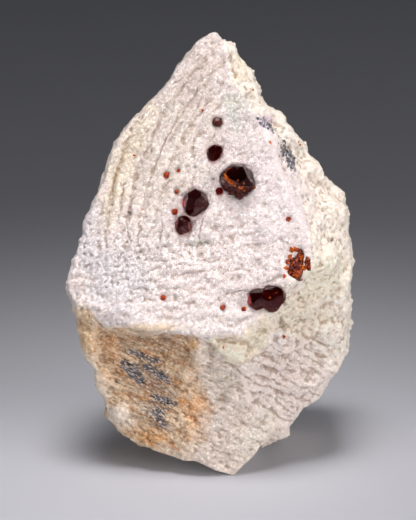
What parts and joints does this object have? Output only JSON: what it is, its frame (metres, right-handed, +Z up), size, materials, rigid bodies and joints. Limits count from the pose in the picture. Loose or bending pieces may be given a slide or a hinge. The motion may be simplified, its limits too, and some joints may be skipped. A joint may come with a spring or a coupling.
{
  "type": "garnet in matrix specimen",
  "caption": "Standing hand specimen of white sugary feldspar rock, broken on every side and flat below, with dark red garnet crystals set in its sloping front face.",
  "frame": {"origin": "in the flat face that the rock rests on, near its middle", "axes": "+Z up; -Y is the front, the side with the garnets; +X is to the right as the front is looked at"},
  "size_m": [0.073, 0.063, 0.1081],
  "materials": {
    "rock": "white to cream broken feldspar, stained brown and orange low on the left",
    "garnet": "dark red glossy crystal, brighter red to orange where thin"
  },
  "bodies": {
    "root": {"matrix": "rock", "garnet_large": "garnet", "garnet_middle": "garnet", "garnet_lower": "garnet", "garnet_upper": "garnet", "garnet_top": "garnet", "garnet_pair": "garnet", "garnet_broken": "garnet", "garnet_bead_1": "garnet", "garnet_bead_2": "garnet", "garnet_bead_3": "garnet", "garnet_bead_4": "garnet", "garnet_bead_5": "garnet", "garnet_bead_6": "garnet", "garnet_bead_7": "garnet", "garnet_bead_8": "garnet", "garnet_bead_9": "garnet"}
  },
  "joints": []
}
